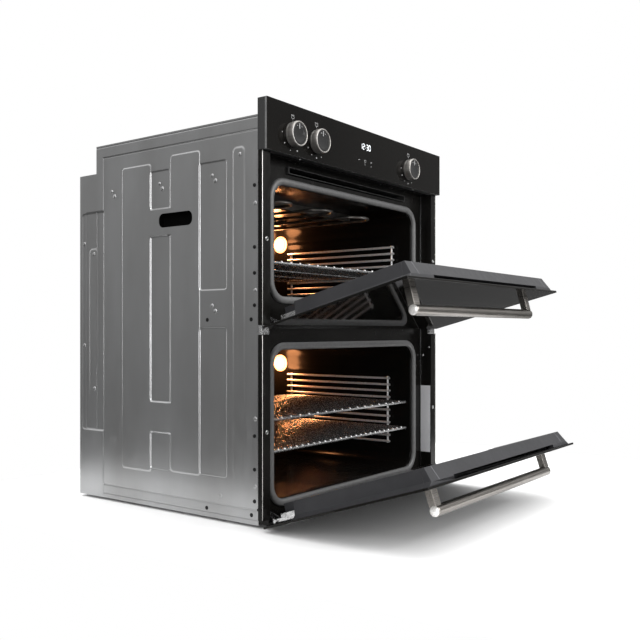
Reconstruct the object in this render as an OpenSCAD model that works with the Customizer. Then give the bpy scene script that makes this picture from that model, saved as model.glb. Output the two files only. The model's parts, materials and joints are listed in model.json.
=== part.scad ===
// Built-under double oven: a grill oven above a fan oven, in one steel case.
// X runs to the right seen from the front, Y from the front to the back, and Z up.
// The origin is the centre of the case's footprint, on its underside. Millimetres.

/* [Case] */
// Width of the steel case, which slides between the cabinet sides
body_w = 558; // [556:1:559]
// Depth of the case, from the front edge of its sides to the rear cover
body_d = 477; // [474:1:482]
// Height of the case's top
body_h = 696; // [694:1:700]
// Thickness of the case sheet
sheet = 1.2; // [1:0.1:1.4]
// Depth of the rear cover behind the flat rear panel
rear_cover_d = 51.5; // [49:0.5:54]
// Height of the rear cover
rear_cover_h = 642; // [630:1:644]

/* [Front] */
// Width over the doors and the control panel
front_w = 594; // [592:1:596]
// Height over everything
front_h = 717; // [715:1:720]
// Height of the control panel
panel_h = 86.5; // [84:0.5:88]
// Depth of the control panel
panel_d = 20; // [18:0.5:22]
// Diameter of the control knobs
knob_d = 43; // [38:0.5:46]
// How far the knobs stand out of the glass
knob_l = 16; // [12:0.5:22]

/* [Doors] */
// Height of the upper door's outer glass
upper_glass_h = 286; // [280:1:288]
// Height of the lower door's outer glass
lower_glass_h = 326.5; // [320:0.5:327]
// Opening angle of the upper door as drawn, from closed
upper_angle = 75; // [0:1:90]
// Opening angle of the lower door as drawn, from closed
lower_angle = 72; // [0:1:90]
// Length of the handle bars
handle_l = 458; // [420:1:480]
// Diameter of the handle bars
handle_d = 18; // [14:0.5:20]

/* [Ovens] */
// Inner width of both ovens
oven_w = 474; // [470:1:476]
// Inner height of the upper oven
upper_oven_h = 195; // [190:1:197]
// Inner height of the lower oven
lower_oven_h = 261; // [255:1:263]
// Distance between two runner wires
wire_pitch = 14; // [12:0.5:15]

/* [Hidden] */
$fn = 48;

// Planes along Y
front_y = -body_d / 2;
rear_y = body_d / 2;
step_y = rear_y - rear_cover_d;
recess_y = front_y + 3;
flange_y = front_y - 24;
pivot_y = front_y - 28;
panel_back_y = front_y - 14;
panel_front_y = panel_back_y - panel_d;

// Sides
inner_x = body_w / 2 - sheet;
recess_x = inner_x - 1.8;
wall = 1.6;

// Control panel
panel_z = front_h - panel_h;
panel_glass = 4;
frame_top = panel_z - 0.4;
knob_z = 665.5;
knob_xs = [-228, -160, 160];
knob_gap = 0.5;
spindle_r = 3;

// Mouths of the ovens, seals and cavities
seal_w = 11;
seal_d = 5.5;
mouth_r = 30;
mouth_margin = 2;
upper_floor_z = 390;
lower_floor_z = 35;
oven_back_y = 160;
oven_t = 1.5;

// Doors, drawn about their pivot: the outside is towards -Y and the top towards +Z
glass_t = 4;
glass_out = 8;
glass_drop = 4.5;
upper_pivot_z = 342;
lower_pivot_z = 10;
shell_w = 566;
shell_in_w = 540;
shell_in_y = 24.5;
shell_top_gap = 5;
trim_h = 14;
column_start = 50;
rail_start = 12;
handle_out = 43;
handle_below_top = 42.5;
post_x = 220;

// Hinges
hinge_x = 262;
arm_w = 10;
arm_l = 96;
pin_r = 2;
pin_gap = 0.05;
eye_r = 3.4;
cheek_t = 3;

// Fan of the lower oven
fan_z = lower_floor_z + lower_oven_h / 2;
fan_r = 72;
shaft_r = 4;
shaft_gap = 0.05;
baffle_y = 118;
baffle_w = 350;
baffle_h = 212;

// Cooling blower
blower_y = 60;
blower_z = 648;
blower_r = 30;
blower_l = 240;

// Runners and shelves
upper_runner_front_y = -195;
lower_runner_front_y = -185;
runner_back_y = 105;
upright_in = 8;
wire_r = 2.5;
runner_x = oven_w / 2 - 8.5;
post_out = 4.5;
upper_runner_z = upper_floor_z + 26;
lower_runner_z = lower_floor_z + 49;
rim_r = 2.8;
shelf_w = 460;
shelf_front_y = -225;
shelf_back_y = 100;
shelf_wire_r = 1.6;
few_wires = 16;
many_wires = 25;

// Lamps in the right wall
lamp_y = 134;
lamp_r = 20;
lamp_gap = 0.5;
holder_r = 16;
lamp_zs = [lower_floor_z + 215, upper_floor_z + 150];

// Fixing holes of the flanges
fix_x = 284.5;
fix_zs = [160, 483];
fix_r = 2.25;

// Case screws on both sides, and the hand slots
screw_y = front_y + 9.5;
screw_zs = [40, 94, 151, 373, 428, 472, 577];
slot_y = -38;
slot_z = 534;
slot_l = 87;
slot_h = 26;

// Terminal box on the rear panel
terminal_x = 185;
terminal_z = 669;
gland_r = 5;
gland_l = 14;

module rounded(w, h, r) {
    square([w - 2 * r, h], center = true);
    square([w, h - 2 * r], center = true);
    for (x = [-1, 1])
        for (y = [-1, 1])
            translate([x * (w / 2 - r), y * (h / 2 - r)])
                circle(r);
}

// A box given by its lowest and highest corners
module block(low, high) {
    translate(low)
        cube(high - low);
}

// An outline drawn in X and Z, made deep from y to y + d
module along_y(y, d) {
    translate([0, y + d, 0])
        rotate([90, 0, 0])
            linear_extrude(d)
                children();
}

// An outline drawn in Y and Z, made deep from x to x + d
module along_x(x, d) {
    translate([x, 0, 0])
        rotate([90, 0, 90])
            linear_extrude(d)
                children();
}

// A round bar between two points that differ along one axis only
module bar_x(x0, x1, y, z, r) {
    translate([x0, y, z])
        rotate([0, 90, 0])
            cylinder(h = x1 - x0, r = r);
}

module bar_y(x, y0, y1, z, r) {
    translate([x, y1, z])
        rotate([90, 0, 0])
            cylinder(h = y1 - y0, r = r);
}

module bar_z(x, y, z0, z1, r) {
    translate([x, y, z0])
        cylinder(h = z1 - z0, r = r);
}

module both_sides() {
    children();
    mirror([1, 0, 0])
        children();
}

// ---------------------------------------------------------------- case

module base_panel() {
    color("darkgray") {
        block([-inner_x, front_y, 0], [inner_x, rear_y - sheet, sheet]);
        block([-inner_x, recess_y + 1.5, sheet], [inner_x, recess_y + 1.5 + sheet, 14]);
        for (y = [-120, 0, 120])
            block([-240, y - 12, sheet], [240, y + 12, 5]);
    }
}

module side_outline() {
    polygon([[front_y, 0], [rear_y, 0], [rear_y, rear_cover_h], [step_y, rear_cover_h],
        [step_y, body_h], [front_y, body_h]]);
}

// Windows pressed into the side: [rear y, front y, bottom z, top z]
press_windows = [[27, -27, 557, 628], [27, -26, 197, 506], [27, -27, 71, 140],
    [-102, -164, 402, 628], [-102, -164, 73, 335]];

module side_panel() {
    press = 0.5;
    difference() {
        along_x(-body_w / 2, sheet)
            side_outline();
        for (w = press_windows)
            block([-body_w / 2 - 1, w[1], w[2]], [-body_w / 2 + press, w[0], w[3]]);
        along_x(-body_w / 2 - 1, sheet + 2)
            translate([slot_y, slot_z])
                rounded(slot_l, slot_h, 11);
        for (z = screw_zs)
            bar_x(-body_w / 2 - 1, -inner_x + 1, screw_y, z, 2);
    }
}

module left_side_panel() {
    color("darkgray")
        side_panel();
}

module right_side_panel() {
    color("darkgray")
        mirror([1, 0, 0])
            side_panel();
}

module top_panel() {
    color("darkgray")
        difference() {
            union() {
                block([-inner_x, front_y, body_h - sheet], [inner_x, step_y, body_h]);
                block([-inner_x, front_y, body_h - 8.5], [inner_x, front_y + sheet, body_h - sheet]);
            }
            for (i = [0:11])
                block([-198 + 36 * i - 12, 120, body_h - 5], [-198 + 36 * i + 12, 126, body_h + 1]);
        }
}

module rear_panel() {
    color("darkgray")
        difference() {
            block([-inner_x, step_y, sheet], [inner_x, step_y + sheet, body_h]);
            bar_y(0, step_y - 1, step_y + 3, fan_z, 12);
            for (x = [-180:36:0])
                for (z = [658:10:688])
                    block([x - 12, step_y - 1, z - 2], [x + 12, step_y + 3, z + 2]);
        }
}

module rear_cover() {
    back_y = rear_y - sheet;
    color("silver")
        difference() {
            union() {
                block([-inner_x, back_y, 0], [inner_x, rear_y, rear_cover_h]);
                block([-inner_x, step_y + sheet, rear_cover_h - sheet], [inner_x, back_y, rear_cover_h]);
            }
            for (x = [-150, 0, 150])
                for (z = [90:14:244])
                    block([x - 45, back_y - 1, z - 2.5], [x + 45, rear_y + 1, z + 2.5]);
        }
}

// A blanket round one oven, open at the front, with room for an element under its floor
module blanket(floor_z, h, room, lamp_z) {
    side_in = oven_w / 2 + 4;
    difference() {
        block([-262, recess_y + 8, floor_z - room - 14], [262, step_y - 2, floor_z + h + 13]);
        block([-side_in, recess_y, floor_z - room], [side_in, oven_back_y + 4, floor_z + h + 4]);
        block([side_in - 1, lamp_y - 26, lamp_z - 26], [280, lamp_y + 26, lamp_z + 26]);
        bar_y(0, oven_back_y, step_y + 1, fan_z, 14);
    }
}

module insulation() {
    color("khaki") {
        blanket(lower_floor_z, lower_oven_h, 5, lamp_zs[0]);
        blanket(upper_floor_z, upper_oven_h, 16, lamp_zs[1]);
    }
}

module case_screws() {
    color("dimgray")
        both_sides()
            for (z = screw_zs) {
                bar_x(-body_w / 2 - 1.4, -body_w / 2, screw_y, z, 3.4);
                bar_x(-body_w / 2, -body_w / 2 + 3, screw_y, z, 1.8);
            }
}

// ---------------------------------------------------------------- front

// Centre and size of an oven's mouth, drawn in X and Z
module mouth(floor_z, h, grow) {
    translate([0, floor_z + h / 2])
        rounded(oven_w + 2 * (mouth_margin + grow), h + 2 * (mouth_margin + grow), mouth_r + grow);
}

module front_frame() {
    color("black")
        difference() {
            union() {
                block([-inner_x + 0.2, recess_y, 3], [inner_x - 0.2, recess_y + 1.5, frame_top]);
                both_sides()
                    block([recess_x, flange_y + 2, 3], [recess_x + wall, recess_y, frame_top]);
                block([-recess_x, flange_y + 2, 3], [recess_x, recess_y, 4.5]);
                block([-recess_x, flange_y + 8, frame_top - 1.5], [recess_x, recess_y, frame_top]);
            }
            along_y(recess_y - 1, 4)
                mouth(lower_floor_z, lower_oven_h, 0);
            along_y(recess_y - 1, 4)
                mouth(upper_floor_z, upper_oven_h, 0);
            block([-200, recess_y - 1, 606], [200, recess_y + 3, 620]);
            both_sides()
                block([recess_x - 1, flange_y - 1, 323], [recess_x + 3, flange_y + 9, 339]);
        }
}

// One flange: a lower and an upper strip, with a return along the outer edge
module flange() {
    color("black")
        for (span = [[14, 323], [339, panel_z - 0.5]])
            difference() {
                union() {
                    block([recess_x, flange_y, span[0]], [front_w / 2, flange_y + 2, span[1]]);
                    block([front_w / 2 - 1.2, flange_y + 2, span[0]], [front_w / 2, flange_y + 9, span[1]]);
                }
                for (z = fix_zs)
                    bar_y(fix_x, flange_y - 1, flange_y + 3, z, fix_r);
            }
}

module left_flange() {
    mirror([1, 0, 0])
        flange();
}

module right_flange() {
    flange();
}

module middle_brackets() {
    color("silver")
        both_sides() {
            block([recess_x + 0.4, flange_y + 2.2, 323.2], [front_w / 2 - 1.5, flange_y + 4.4, 338.8]);
            block([recess_x + wall, flange_y + 4.4, 323.2], [body_w / 2, front_y - 1, 338.8]);
        }
}

// The fixed half of a hinge: two cheeks, a web on the front frame, and the pin
module receiver(z) {
    cheek = arm_w / 2 + 1;
    translate([hinge_x, 0, z]) {
        for (x = [-cheek - cheek_t, cheek])
            along_x(x, cheek_t) {
                translate([pivot_y, 0])
                    circle(eye_r);
                polygon([[pivot_y, -eye_r], [recess_y, -eye_r], [recess_y, 12], [recess_y - 8, 12],
                    [pivot_y, eye_r]]);
            }
        block([-cheek, recess_y - 3, -eye_r], [cheek, recess_y, 12]);
        bar_x(-cheek, cheek, pivot_y, 0, pin_r);
    }
}

module hinge_receivers() {
    color("silver")
        both_sides() {
            receiver(lower_pivot_z);
            receiver(upper_pivot_z);
        }
}

module air_duct() {
    color("dimgray")
        difference() {
            block([-199, recess_y - 5, 607], [199, blower_y - 42, 619]);
            block([-197.5, recess_y - 6, 608.2], [197.5, blower_y - 41, 617.8]);
        }
}

// ---------------------------------------------------------------- ovens

module oven(floor_z, h) {
    mid_z = floor_z + h / 2;
    difference() {
        union() {
            along_y(recess_y + 1.5, oven_back_y + oven_t - recess_y - 1.5)
                translate([0, mid_z])
                    rounded(oven_w + 2 * oven_t, h + 2 * oven_t, mouth_r + oven_t);
            along_y(recess_y + 1.5, 1.5)
                mouth(floor_z, h, 10);
        }
        along_y(recess_y, oven_back_y - recess_y)
            translate([0, mid_z])
                rounded(oven_w, h, mouth_r);
        children();
    }
}

module upper_oven() {
    color("black")
        oven(upper_floor_z, upper_oven_h)
            bar_x(oven_w / 2 - 1, oven_w / 2 + 3, lamp_y, lamp_zs[1], holder_r + 1);
}

module lower_oven() {
    color("black")
        oven(lower_floor_z, lower_oven_h) {
            bar_x(oven_w / 2 - 1, oven_w / 2 + 3, lamp_y, lamp_zs[0], holder_r + 1);
            bar_y(0, oven_back_y - 1, oven_back_y + 3, fan_z, shaft_r + 2);
        }
}

module seal(floor_z, h) {
    color("gray")
        difference() {
            along_y(recess_y - seal_d, seal_d)
                mouth(floor_z, h, seal_w);
            along_y(recess_y - seal_d - 1, seal_d + 2)
                mouth(floor_z, h, 0);
        }
}

module upper_seal() {
    seal(upper_floor_z, upper_oven_h);
}

module lower_seal() {
    seal(lower_floor_z, lower_oven_h);
}

// A tube bent to and fro in one plane, with legs along Y
module serpentine(xs, y0, y1, z, r) {
    for (x = xs)
        bar_y(x, y0, y1, z, r);
    bend = (xs[1] - xs[0]) / 2;
    for (i = [0:len(xs) - 2])
        translate([xs[i] + bend, i % 2 == 0 ? y0 : y1, z])
            rotate([0, 0, i % 2 == 0 ? 180 : 0])
                rotate_extrude(angle = 180)
                    translate([bend, 0])
                        circle(r);
}

module grill_element() {
    tube_r = 3.2;
    grill_z = upper_floor_z + upper_oven_h - 16;
    color("slategray") {
        serpentine([-165, -99, -33, 33, 99, 165], -150, 120, grill_z, tube_r);
        for (x = [-165, 165])
            bar_y(x, 120, oven_back_y, grill_z, tube_r);
        for (y = [-110, 70])
            block([-172, y - 6, grill_z + tube_r], [172, y + 6, upper_floor_z + upper_oven_h]);
    }
}

module base_element() {
    tube_r = 3.2;
    base_z = upper_floor_z - oven_t - tube_r - 1;
    color("slategray") {
        serpentine([-150, -50, 50, 150], -150, 100, base_z, tube_r);
        for (y = [-90, 60])
            block([-160, y - 6, base_z - tube_r - 1.5], [160, y + 6, base_z - tube_r + 0.6]);
    }
}

module ring_element() {
    tube_r = 3.2;
    ring_r = 90;
    color("slategray") {
        for (y = [134, 146])
            translate([0, y, fan_z])
                rotate([90, 0, 0])
                    rotate_extrude()
                        translate([ring_r, 0])
                            circle(tube_r);
        for (x = [-10, 10])
            bar_y(x, 146, oven_back_y, fan_z + ring_r - 0.5, tube_r);
        bar_y(0, 134, 146, fan_z + ring_r, tube_r);
    }
}

module fan_baffle() {
    back = oven_back_y;
    t = 1.5;
    color("black")
        difference() {
            along_y(baffle_y, back - baffle_y)
                translate([0, fan_z])
                    rounded(baffle_w, baffle_h, 20);
            along_y(baffle_y + t, back - baffle_y)
                translate([0, fan_z])
                    rounded(baffle_w - 2 * t, baffle_h - 2 * t, 18.5);
            // intake holes in front of the fan
            for (ring = [[0, 1], [14, 6], [28, 12], [42, 18]])
                for (i = [0:ring[1] - 1])
                    bar_y(ring[0] * cos(360 * i / ring[1]), baffle_y - 1, baffle_y + t + 1,
                        fan_z + ring[0] * sin(360 * i / ring[1]), 4);
            // outlet slots beside it
            for (s = [-1, 1])
                for (z = [-72:24:72])
                    block([s * 145 - 18, baffle_y - 1, fan_z + z - 3],
                        [s * 145 + 18, baffle_y + t + 1, fan_z + z + 3]);
        }
}

module fan_motor() {
    y0 = step_y + sheet;
    color("silver")
        difference() {
            union() {
                bar_y(0, y0 + 4, y0 + 34, fan_z, 36);
                bar_y(0, y0 + 34, y0 + 40, fan_z, 14);
                block([-60, y0, fan_z - 12], [60, y0 + 4, fan_z + 12]);
            }
            bar_y(0, y0 - 1, y0 + 30, fan_z, shaft_r + shaft_gap);
        }
}

module oven_fan() {
    blade_y = 130;
    color("silver") {
        bar_y(0, blade_y - 4, step_y + sheet + 28, fan_z, shaft_r);
        bar_y(0, blade_y - 2, blade_y + 22, fan_z, 9);
        bar_y(0, blade_y + 20, blade_y + 21.2, fan_z, fan_r);
        for (i = [0:11])
            translate([0, 0, fan_z])
                rotate([0, 30 * i, 0])
                    translate([fan_r - 26, blade_y, 0])
                        rotate([0, -28, 0])
                            cube([22, 20.5, 1.2]);
    }
}

module lamp_lenses() {
    color("lightyellow")
        for (z = lamp_zs)
            difference() {
                bar_x(oven_w / 2 - 12, oven_w / 2 - lamp_gap, lamp_y, z, lamp_r);
                bar_x(oven_w / 2 - 9, oven_w / 2, lamp_y, z, lamp_r - 3);
            }
}

module lamp_holders() {
    color("white")
        for (z = lamp_zs) {
            bar_x(oven_w / 2 - 6, oven_w / 2 + 24, lamp_y, z, holder_r);
            bar_x(oven_w / 2 + 24, oven_w / 2 + 34, lamp_y, z, 9);
        }
}

// A ladder of wires on each side wall, with its uprights behind the runner wires
module runners(z0, count, front) {
    upright_x = runner_x + post_out;
    top_z = z0 + (count - 1) * wire_pitch;
    color("silver")
        both_sides() {
            for (i = [0:count - 1])
                bar_y(runner_x, front, runner_back_y, z0 + i * wire_pitch, wire_r);
            for (y = [front + upright_in, runner_back_y - upright_in]) {
                bar_z(upright_x, y, z0 - 4, top_z + 4, wire_r);
                for (z = [z0 + wire_pitch, top_z])
                    bar_x(upright_x, oven_w / 2, y, z, wire_r);
            }
        }
}

module upper_runners() {
    runners(upper_runner_z, 8, upper_runner_front_y);
}

module lower_runners() {
    runners(lower_runner_z, 11, lower_runner_front_y);
}

// A wire shelf lying on one pair of runner wires: a rim, close wires from front to back,
// and two wires across under them
module shelf(runner_z, level, wires) {
    x = shelf_w / 2 - rim_r;
    z = runner_z + level * wire_pitch + wire_r + rim_r;
    color("silver") {
        for (y = [shelf_front_y, shelf_back_y])
            bar_x(-x, x, y, z, rim_r);
        for (sx = [-x, x])
            bar_y(sx, shelf_front_y, shelf_back_y, z, rim_r);
        for (sx = [-x, x])
            for (y = [shelf_front_y, shelf_back_y])
                translate([sx, y, z])
                    sphere(rim_r);
        for (i = [1:wires])
            bar_y(-x + 2 * x * i / (wires + 1), shelf_front_y, shelf_back_y, z + 1, shelf_wire_r);
        for (y = [-110, 0])
            bar_x(-x, x, y, z - 1, shelf_wire_r);
    }
}

module upper_shelf() {
    shelf(upper_runner_z, 2, few_wires);
}

module lower_oven_top_shelf() {
    shelf(lower_runner_z, 6, few_wires);
}

module lower_oven_bottom_shelf() {
    shelf(lower_runner_z, 2, many_wires);
}

// ---------------------------------------------------------------- cooling blower

module blower_housing() {
    half = blower_l / 2 + 6;
    t = 1.5;
    low = 606;
    high = body_h - sheet - 3;
    rear = blower_y + 40;
    color("silver")
        difference() {
            union() {
                for (x = [-half, half - t])
                    block([x, blower_y - 40, low], [x + t, rear, high]);
                block([-half, rear - t, low], [half, rear, high]);
                block([-half, blower_y - 40, high - t], [half, rear, high]);
                block([-half, blower_y - 40, low], [half, rear, low + t]);
                block([-half, blower_y - 40, 622], [half, blower_y - 40 + t, high]);
            }
            bar_x(-half - 1, half + 1, blower_y, blower_z, shaft_r + 1.5);
            for (i = [0:8])
                translate([-96 + 24 * i, blower_y, 0])
                    block([-7, -20, high - 4], [7, 20, high + 1]);
        }
}

module blower_motor() {
    x0 = blower_l / 2 + 8;
    color("dimgray")
        difference() {
            union() {
                bar_x(x0, x0 + 44, blower_y, blower_z, 24);
                block([x0 + 4, blower_y - 20, 606], [x0 + 36, blower_y + 20, blower_z - 16]);
            }
            bar_x(x0 - 1, x0 + 34, blower_y, blower_z, shaft_r + shaft_gap);
        }
}

module blower_wheel() {
    half = blower_l / 2;
    color("lightgray") {
        bar_x(-half - 3, half + 38, blower_y, blower_z, shaft_r);
        for (x = [-half, -1, half - 2])
            bar_x(x, x + 2, blower_y, blower_z, blower_r);
        for (i = [0:15])
            translate([0, blower_y, blower_z])
                rotate([22.5 * i, 0, 0])
                    translate([-half, -0.6, blower_r - 8])
                        cube([blower_l, 1.2, 7.4]);
    }
}

// ---------------------------------------------------------------- controls

module knob_places() {
    for (x = knob_xs)
        translate([x, 0, knob_z])
            children();
}

module control_glass() {
    color("black")
        difference() {
            block([-front_w / 2, panel_front_y, panel_z],
                [front_w / 2, panel_front_y + panel_glass, front_h]);
            knob_places()
                bar_y(0, panel_front_y - 1, panel_front_y + 9, 0, spindle_r + 1.5);
        }
}

module control_housing() {
    y0 = panel_front_y + panel_glass;
    t = 2;
    color("darkslategray")
        difference() {
            block([-front_w / 2, y0, panel_z], [front_w / 2, panel_back_y, front_h]);
            block([-front_w / 2 + t, y0 + t, panel_z + t], [front_w / 2 - t, panel_back_y - t, front_h - t]);
            knob_places()
                bar_y(0, y0 - 1, panel_back_y + 1, 0, spindle_r + 1.5);
        }
}

module display_module() {
    y0 = panel_front_y + panel_glass + 2;
    color("darkgreen") {
        block([-60, y0 + 5, 642], [60, y0 + 7, 706]);
        block([-34, y0, 672], [34, y0 + 5, 700]);
    }
}

module switch_bodies() {
    color("ivory")
        knob_places()
            difference() {
                union() {
                    block([-21, panel_back_y, -21], [21, panel_back_y + 24, 21]);
                    block([-12, panel_back_y + 24, -18], [12, panel_back_y + 32, 18]);
                }
                bar_y(0, panel_back_y - 1, panel_back_y + 16, 0, spindle_r + shaft_gap);
            }
}

// A metal ring on a web, with the spindle that reaches into its switch
module knob(x) {
    y1 = panel_front_y - knob_gap;
    y0 = y1 - knob_l;
    color("tan")
        translate([x, 0, knob_z]) {
            difference() {
                bar_y(0, y0, y1, 0, knob_d / 2);
                bar_y(0, y0 - 1, y0 + 4, 0, knob_d / 2 - 2.6);
                bar_y(0, y1 - 8, y1 + 1, 0, knob_d / 2 - 4);
            }
            bar_y(0, y1 - 9, panel_back_y + 14, 0, spindle_r);
        }
}

module knob_face(x) {
    y0 = panel_front_y - knob_gap - knob_l;
    color("black")
        translate([x, 0, knob_z]) {
            bar_y(0, y0 + 1, y0 + 4, 0, knob_d / 2 - 2.6);
            block([-0.8, y0 + 0.6, 6], [0.8, y0 + 1, 17]);
        }
}

module left_knob() {
    knob(knob_xs[0]);
}

module left_knob_face() {
    knob_face(knob_xs[0]);
}

module middle_knob() {
    knob(knob_xs[1]);
}

module middle_knob_face() {
    knob_face(knob_xs[1]);
}

module right_knob() {
    knob(knob_xs[2]);
}

module right_knob_face() {
    knob_face(knob_xs[2]);
}

// ---------------------------------------------------------------- supply

module terminal_block() {
    y0 = step_y + sheet;
    color("ivory")
        difference() {
            block([terminal_x - 22, y0, terminal_z - 12], [terminal_x + 22, y0 + 16, terminal_z + 12]);
            for (i = [-2:2])
                translate([terminal_x + 8 * i, y0, terminal_z])
                    block([-2.5, 8, -13], [2.5, 17, 4]);
        }
}

module terminal_cover() {
    y0 = step_y + sheet;
    t = 2;
    color("dimgray")
        difference() {
            union() {
                block([terminal_x - 34, y0, terminal_z - 21], [terminal_x + 34, y0 + 28, terminal_z + 21]);
                bar_x(terminal_x - 34 - gland_l, terminal_x - 34, y0 + 14, terminal_z, gland_r + 3.5);
            }
            translate([terminal_x, y0, terminal_z])
                block([-34 + t, -1, -21 + t], [34 - t, 28 - t, 21 - t]);
            bar_x(terminal_x - 34 - gland_l - 1, terminal_x - 30, y0 + 14, terminal_z, gland_r);
        }
}

// ---------------------------------------------------------------- doors

// Puts a door, drawn about its pivot, in its place and at its angle
module hang(pivot_z, angle) {
    translate([0, pivot_y, pivot_z])
        rotate([angle, 0, 0])
            children();
}

module door_glass(h) {
    color("black")
        along_y(-glass_out, glass_t)
            translate([0, h / 2 - glass_drop])
                rounded(front_w, h, 2);
}

// The door's outline behind the glass, seen from above: tapered at the sides
module shell_outline() {
    y0 = glass_t - glass_out;
    polygon([[-shell_w / 2, y0], [shell_w / 2, y0], [shell_in_w / 2 + 4.5, 2.5],
        [shell_in_w / 2, shell_in_y], [-shell_in_w / 2, shell_in_y], [-shell_in_w / 2 - 4.5, 2.5]]);
}

// The frame behind the glass: two columns and two rails
module door_frame(h) {
    top = h - glass_drop - shell_top_gap - trim_h;
    y0 = glass_t - glass_out;
    color("darkslategray")
        difference() {
            translate([0, 0, rail_start])
                linear_extrude(top - rail_start)
                    shell_outline();
            block([-222, y0 - 1, 52], [222, shell_in_y + 1, top - 22]);
            block([-229, shell_in_y - glass_t, 45], [229, shell_in_y + 1, top - 15]);
            // the sheet shell is hollow behind the outer glass, but for blocks round the hinge arms
            block([-248, y0 - 1, rail_start + 2], [248, shell_in_y - 2, 43]);
            block([-267, y0 - 1, top - 13], [267, shell_in_y - 2, top - 2]);
            both_sides() {
                block([231, y0 - 1, rail_start + 2], [248, shell_in_y - 2, top - 2]);
                block([247, y0 - 1, arm_l + 8], [267, shell_in_y - 2, top - 2]);
                block([250, y0 - 1, 0], [shell_w, shell_in_y + 1, column_start]);
                block([hinge_x - arm_w / 2 - 0.5, -3.5, 0], [hinge_x + arm_w / 2 + 0.5, 10.5, arm_l + 1]);
            }
        }
}

// The strip along the top of the door, with a long air slot
module door_trim(h) {
    low = h - glass_drop - shell_top_gap - trim_h;
    high = low + trim_h;
    y0 = glass_t - glass_out;
    color("dimgray")
        difference() {
            translate([0, 0, low])
                linear_extrude(trim_h)
                    shell_outline();
            along_x(-shell_w, 2 * shell_w)
                polygon([[2, high + 1], [2, high], [shell_in_y, low + 5], [shell_in_y + 1, low + 5],
                    [shell_in_y + 1, high + 1]]);
            block([-205, -3, low - 1], [205, 3, high + 1]);
            block([-268, y0 + 1, low - 1], [268, shell_in_y - 2, low + 3]);
        }
}

module door_inner_glass(h) {
    top = h - glass_drop - shell_top_gap - trim_h;
    color("gray")
        block([-228.5, shell_in_y - glass_t, 45.5], [228.5, shell_in_y, top - 15.5]);
}

module hinge_arms() {
    color("silver")
        both_sides()
            difference() {
                union() {
                    bar_x(hinge_x - arm_w / 2, hinge_x + arm_w / 2, 0, 0, eye_r);
                    block([hinge_x - arm_w / 2, -3, 0], [hinge_x + arm_w / 2, 3, 20]);
                    block([hinge_x - arm_w / 2, -3, 14], [hinge_x + arm_w / 2, 10, arm_l]);
                }
                bar_x(hinge_x - arm_w, hinge_x + arm_w, 0, 0, pin_r + pin_gap);
            }
}

module handle_bar(h) {
    color("tan")
        bar_x(-handle_l / 2, handle_l / 2, -handle_out, h - glass_drop - handle_below_top, handle_d / 2);
}

module handle_posts(h) {
    z = h - glass_drop - handle_below_top;
    color("tan")
        for (x = [-post_x, post_x])
            difference() {
                block([x - 9, -handle_out, z - 6], [x + 9, -glass_out, z + 6]);
                bar_x(x - 10, x + 10, -handle_out, z, handle_d / 2);
            }
}

module upper_door_glass() {
    hang(upper_pivot_z, upper_angle)
        door_glass(upper_glass_h);
}

module upper_door_frame() {
    hang(upper_pivot_z, upper_angle)
        door_frame(upper_glass_h);
}

module upper_door_trim() {
    hang(upper_pivot_z, upper_angle)
        door_trim(upper_glass_h);
}

module upper_door_inner_glass() {
    hang(upper_pivot_z, upper_angle)
        door_inner_glass(upper_glass_h);
}

module upper_hinge_arms() {
    hang(upper_pivot_z, upper_angle)
        hinge_arms();
}

module upper_handle_bar() {
    hang(upper_pivot_z, upper_angle)
        handle_bar(upper_glass_h);
}

module upper_handle_posts() {
    hang(upper_pivot_z, upper_angle)
        handle_posts(upper_glass_h);
}

module lower_door_glass() {
    hang(lower_pivot_z, lower_angle)
        door_glass(lower_glass_h);
}

module lower_door_frame() {
    hang(lower_pivot_z, lower_angle)
        door_frame(lower_glass_h);
}

module lower_door_trim() {
    hang(lower_pivot_z, lower_angle)
        door_trim(lower_glass_h);
}

module lower_door_inner_glass() {
    hang(lower_pivot_z, lower_angle)
        door_inner_glass(lower_glass_h);
}

module lower_hinge_arms() {
    hang(lower_pivot_z, lower_angle)
        hinge_arms();
}

module lower_handle_bar() {
    hang(lower_pivot_z, lower_angle)
        handle_bar(lower_glass_h);
}

module lower_handle_posts() {
    hang(lower_pivot_z, lower_angle)
        handle_posts(lower_glass_h);
}

base_panel();
left_side_panel();
right_side_panel();
top_panel();
rear_panel();
rear_cover();
insulation();
case_screws();
front_frame();
left_flange();
right_flange();
middle_brackets();
hinge_receivers();
air_duct();
upper_oven();
lower_oven();
upper_seal();
lower_seal();
grill_element();
base_element();
ring_element();
fan_baffle();
fan_motor();
oven_fan();
lamp_lenses();
lamp_holders();
upper_runners();
lower_runners();
upper_shelf();
lower_oven_top_shelf();
lower_oven_bottom_shelf();
blower_housing();
blower_motor();
blower_wheel();
control_glass();
control_housing();
display_module();
switch_bodies();
left_knob();
left_knob_face();
middle_knob();
middle_knob_face();
right_knob();
right_knob_face();
terminal_block();
terminal_cover();
upper_door_glass();
upper_door_frame();
upper_door_trim();
upper_door_inner_glass();
upper_hinge_arms();
upper_handle_bar();
upper_handle_posts();
lower_door_glass();
lower_door_frame();
lower_door_trim();
lower_door_inner_glass();
lower_hinge_arms();
lower_handle_bar();
lower_handle_posts();
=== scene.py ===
import json
import math

import bmesh
import bpy
import numpy as np
from mathutils import Matrix, Vector

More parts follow.
